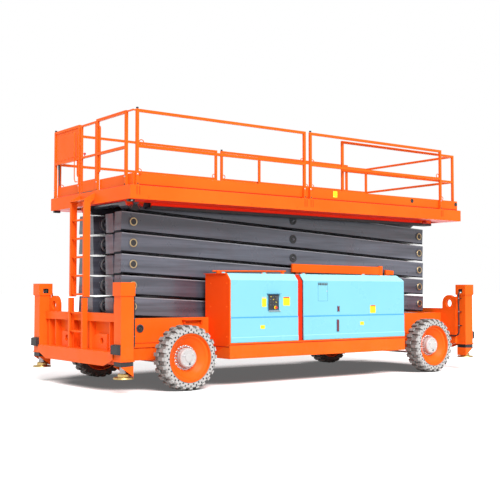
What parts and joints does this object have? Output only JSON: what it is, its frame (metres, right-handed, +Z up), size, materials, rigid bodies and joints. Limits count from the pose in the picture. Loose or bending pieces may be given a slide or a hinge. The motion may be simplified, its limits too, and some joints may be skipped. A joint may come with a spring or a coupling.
{
  "type": "scissor lift",
  "caption": "Rough-terrain scissor lift with a tall crossed-arm stack, a railed roll-out platform with gate and ladder, hooded side boxes, steered wheels and telescopic outrigger legs.",
  "frame": {"origin": "on the ground under the middle of the machine", "axes": "+X along the machine away from the ladder end, +Y across it to the side away from the camera, +Z up"},
  "size_m": [7.51, 3, 4.03],
  "materials": {
    "orange": "satin enamel",
    "dark": "satin enamel",
    "cyan": "gloss enamel",
    "steel": "machined",
    "brass": "zinc-yellow plating",
    "tyre": "light non-marking rubber"
  },
  "bodies": {
    "chassis": {"chassis_frame": "orange", "end_frame_front": "orange", "end_frame_rear": "orange", "tray_left": "orange", "tray_right": "orange", "axle_front": "dark", "axle_rear": "dark", "lower_ladder": "orange", "engine": "dark", "tanks": "steel"},
    "platform": {"platform_deck": "orange", "platform_rails": "orange", "upper_ladder": "orange"},
    "extension": {"extension_deck": "orange", "extension_rails": "orange"},
    "gate": {"gate": "orange"},
    "knuckle_fl": {"knuckle_fl": "dark"},
    "wheel_fl": {"rim_fl": "orange", "tyre_fl": "tyre"},
    "leg_fl": {"leg_fl": "brass"},
    "knuckle_fr": {"knuckle_fr": "dark"},
    "wheel_fr": {"rim_fr": "orange", "tyre_fr": "tyre"},
    "leg_fr": {"leg_fr": "brass"},
    "knuckle_rl": {"knuckle_rl": "dark"},
    "wheel_rl": {"rim_rl": "orange", "tyre_rl": "tyre"},
    "leg_rl": {"leg_rl": "brass"},
    "knuckle_rr": {"knuckle_rr": "dark"},
    "wheel_rr": {"rim_rr": "orange", "tyre_rr": "tyre"},
    "leg_rr": {"leg_rr": "brass"},
    "hood_lf": {"hood_lf": "cyan"},
    "hood_lr": {"hood_lr": "cyan"},
    "hood_rf": {"hood_rf": "cyan"},
    "hood_rr": {"hood_rr": "cyan"},
    "tie_rod_front": {"tie_rod_front": "steel"},
    "tie_rod_rear": {"tie_rod_rear": "steel"},
    "inner_1": {"inner_1": "dark"},
    "outer_1": {"outer_1": "dark"},
    "inner_2": {"inner_2": "dark"},
    "outer_2": {"outer_2": "dark"},
    "inner_3": {"inner_3": "dark"},
    "outer_3": {"outer_3": "dark", "service_prop": "orange"},
    "inner_4": {"inner_4": "dark"},
    "outer_4": {"outer_4": "dark"},
    "inner_5": {"inner_5": "dark"},
    "outer_5": {"outer_5": "dark"},
    "inner_6": {"inner_6": "dark"},
    "outer_6": {"outer_6": "dark"},
    "barrel_low": {"barrel_low": "steel"},
    "rod_low": {"rod_low": "steel"},
    "barrel_high": {"barrel_high": "steel"},
    "rod_high": {"rod_high": "steel"}
  },
  "joints": [
    {"name": "scissor_lift", "type": "hinge", "parent": "chassis", "child": "inner_1", "pos_m": [-3.086, 0, 0.89], "axis": [0, -1, 0], "range_deg": [0, 52]},
    {"name": "cross_1", "type": "hinge", "parent": "inner_1", "child": "outer_1", "pos_m": [0, 0, 1.0475], "axis": [0, -1, 0], "range_deg": [-104, 0]},
    {"name": "level_2", "type": "hinge", "parent": "outer_1", "child": "inner_2", "pos_m": [-3.086, 0, 1.205], "axis": [0, -1, 0], "range_deg": [0, 104]},
    {"name": "cross_2", "type": "hinge", "parent": "inner_2", "child": "outer_2", "pos_m": [0, 0, 1.3625], "axis": [0, -1, 0], "range_deg": [-104, 0]},
    {"name": "level_3", "type": "hinge", "parent": "outer_2", "child": "inner_3", "pos_m": [-3.086, 0, 1.52], "axis": [0, -1, 0], "range_deg": [0, 104]},
    {"name": "cross_3", "type": "hinge", "parent": "inner_3", "child": "outer_3", "pos_m": [0, 0, 1.6775], "axis": [0, -1, 0], "range_deg": [-104, 0]},
    {"name": "level_4", "type": "hinge", "parent": "outer_3", "child": "inner_4", "pos_m": [-3.086, 0, 1.835], "axis": [0, -1, 0], "range_deg": [0, 104]},
    {"name": "cross_4", "type": "hinge", "parent": "inner_4", "child": "outer_4", "pos_m": [0, 0, 1.9925], "axis": [0, -1, 0], "range_deg": [-104, 0]},
    {"name": "level_5", "type": "hinge", "parent": "outer_4", "child": "inner_5", "pos_m": [-3.086, 0, 2.15], "axis": [0, -1, 0], "range_deg": [0, 104]},
    {"name": "cross_5", "type": "hinge", "parent": "inner_5", "child": "outer_5", "pos_m": [0, 0, 2.3075], "axis": [0, -1, 0], "range_deg": [-104, 0]},
    {"name": "level_6", "type": "hinge", "parent": "outer_5", "child": "inner_6", "pos_m": [-3.086, 0, 2.465], "axis": [0, -1, 0], "range_deg": [0, 104]},
    {"name": "cross_6", "type": "hinge", "parent": "inner_6", "child": "outer_6", "pos_m": [0, 0, 2.6225], "axis": [0, -1, 0], "range_deg": [-104, 0]},
    {"name": "platform_pivot", "type": "hinge", "parent": "outer_6", "child": "platform", "pos_m": [-3.086, 0, 2.78], "axis": [0, -1, 0], "range_deg": [0, 52]},
    {"name": "cylinder_low", "type": "hinge", "parent": "inner_1", "child": "barrel_low", "pos_m": [1.50802, 0, 1.12447], "axis": [0, -1, 0], "range_deg": [-108.16, 0]},
    {"name": "rod_slide_low", "type": "slide", "parent": "barrel_low", "child": "rod_low", "axis": [-0.9981, 0, 0.0611], "range_m": [0, 0.3853]},
    {"name": "cylinder_high", "type": "hinge", "parent": "inner_4", "child": "barrel_high", "pos_m": [1.50802, 0, 2.06947], "axis": [0, -1, 0], "range_deg": [-108.16, 0]},
    {"name": "rod_slide_high", "type": "slide", "parent": "barrel_high", "child": "rod_high", "axis": [-0.9981, 0, 0.0611], "range_m": [0, 0.3853]},
    {"name": "steering_front", "type": "hinge", "parent": "chassis", "child": "knuckle_fl", "pos_m": [-2.59, -1.11, 0.471], "axis": [0, 0, 1], "range_deg": [-25, 25]},
    {"name": "steering_front_right", "type": "hinge", "parent": "chassis", "child": "knuckle_fr", "pos_m": [-2.59, 1.11, 0.471], "axis": [0, 0, 1], "range_deg": [-25, 25]},
    {"name": "tie_rod_front", "type": "hinge", "parent": "knuckle_fl", "child": "tie_rod_front", "pos_m": [-2.4, -1.11, 0.342], "axis": [0, 0, 1], "range_deg": [-25, 25]},
    {"name": "steering_rear", "type": "hinge", "parent": "chassis", "child": "knuckle_rl", "pos_m": [2.59, -1.11, 0.471], "axis": [0, 0, 1], "range_deg": [-25, 25]},
    {"name": "steering_rear_right", "type": "hinge", "parent": "chassis", "child": "knuckle_rr", "pos_m": [2.59, 1.11, 0.471], "axis": [0, 0, 1], "range_deg": [-25, 25]},
    {"name": "tie_rod_rear", "type": "hinge", "parent": "knuckle_rl", "child": "tie_rod_rear", "pos_m": [2.4, -1.11, 0.342], "axis": [0, 0, 1], "range_deg": [-25, 25]},
    {"name": "wheel_fl", "type": "hinge", "parent": "knuckle_fl", "child": "wheel_fl", "pos_m": [-2.59, -1.35, 0.471], "axis": [0, 1, 0], "continuous": true},
    {"name": "outrigger_fl", "type": "slide", "parent": "chassis", "child": "leg_fl", "axis": [0, 0, -1], "range_m": [0, 0.42]},
    {"name": "wheel_fr", "type": "hinge", "parent": "knuckle_fr", "child": "wheel_fr", "pos_m": [-2.59, 1.35, 0.471], "axis": [0, 1, 0], "continuous": true},
    {"name": "outrigger_fr", "type": "slide", "parent": "chassis", "child": "leg_fr", "axis": [0, 0, -1], "range_m": [0, 0.42]},
    {"name": "wheel_rl", "type": "hinge", "parent": "knuckle_rl", "child": "wheel_rl", "pos_m": [2.59, -1.35, 0.471], "axis": [0, 1, 0], "continuous": true},
    {"name": "outrigger_rl", "type": "slide", "parent": "chassis", "child": "leg_rl", "axis": [0, 0, -1], "range_m": [0, 0.42]},
    {"name": "wheel_rr", "type": "hinge", "parent": "knuckle_rr", "child": "wheel_rr", "pos_m": [2.59, 1.35, 0.471], "axis": [0, 1, 0], "continuous": true},
    {"name": "outrigger_rr", "type": "slide", "parent": "chassis", "child": "leg_rr", "axis": [0, 0, -1], "range_m": [0, 0.42]},
    {"name": "hood_lf", "type": "hinge", "parent": "chassis", "child": "hood_lf", "pos_m": [-1.20125, -0.895, 1.717], "axis": [-1, 0, 0], "range_deg": [0, 75]},
    {"name": "hood_lr", "type": "hinge", "parent": "chassis", "child": "hood_lr", "pos_m": [0.72525, -0.895, 1.717], "axis": [-1, 0, 0], "range_deg": [0, 75]},
    {"name": "hood_rf", "type": "hinge", "parent": "chassis", "child": "hood_rf", "pos_m": [-1.20125, 0.895, 1.717], "axis": [1, 0, 0], "range_deg": [0, 75]},
    {"name": "hood_rr", "type": "hinge", "parent": "chassis", "child": "hood_rr", "pos_m": [0.72525, 0.895, 1.717], "axis": [1, 0, 0], "range_deg": [0, 75]},
    {"name": "platform_extension", "type": "slide", "parent": "platform", "child": "extension", "axis": [1, 0, 0], "range_m": [0, 1.5]},
    {"name": "gate_swing", "type": "hinge", "parent": "platform", "child": "gate", "pos_m": [-3.43, 0.358, 3.4], "axis": [0, 0, 1], "range_deg": [0, 85]}
  ],
  "couplings": [
    {"joint": "cross_1", "follows": "scissor_lift", "ratio": -2},
    {"joint": "level_2", "follows": "scissor_lift", "ratio": 2},
    {"joint": "cross_2", "follows": "scissor_lift", "ratio": -2},
    {"joint": "level_3", "follows": "scissor_lift", "ratio": 2},
    {"joint": "cross_3", "follows": "scissor_lift", "ratio": -2},
    {"joint": "level_4", "follows": "scissor_lift", "ratio": 2},
    {"joint": "cross_4", "follows": "scissor_lift", "ratio": -2},
    {"joint": "level_5", "follows": "scissor_lift", "ratio": 2},
    {"joint": "cross_5", "follows": "scissor_lift", "ratio": -2},
    {"joint": "level_6", "follows": "scissor_lift", "ratio": 2},
    {"joint": "cross_6", "follows": "scissor_lift", "ratio": -2},
    {"joint": "platform_pivot", "follows": "scissor_lift", "ratio": 1},
    {"joint": "cylinder_low", "follows": "scissor_lift", "ratio": -2.0797},
    {"joint": "rod_slide_low", "follows": "scissor_lift", "m_per_rad": 0.42348},
    {"joint": "cylinder_high", "follows": "scissor_lift", "ratio": -2.0797},
    {"joint": "rod_slide_high", "follows": "scissor_lift", "m_per_rad": 0.42348},
    {"joint": "steering_front_right", "follows": "steering_front", "ratio": 1},
    {"joint": "tie_rod_front", "follows": "steering_front", "ratio": -1},
    {"joint": "steering_rear_right", "follows": "steering_rear", "ratio": 1},
    {"joint": "tie_rod_rear", "follows": "steering_rear", "ratio": -1}
  ]
}
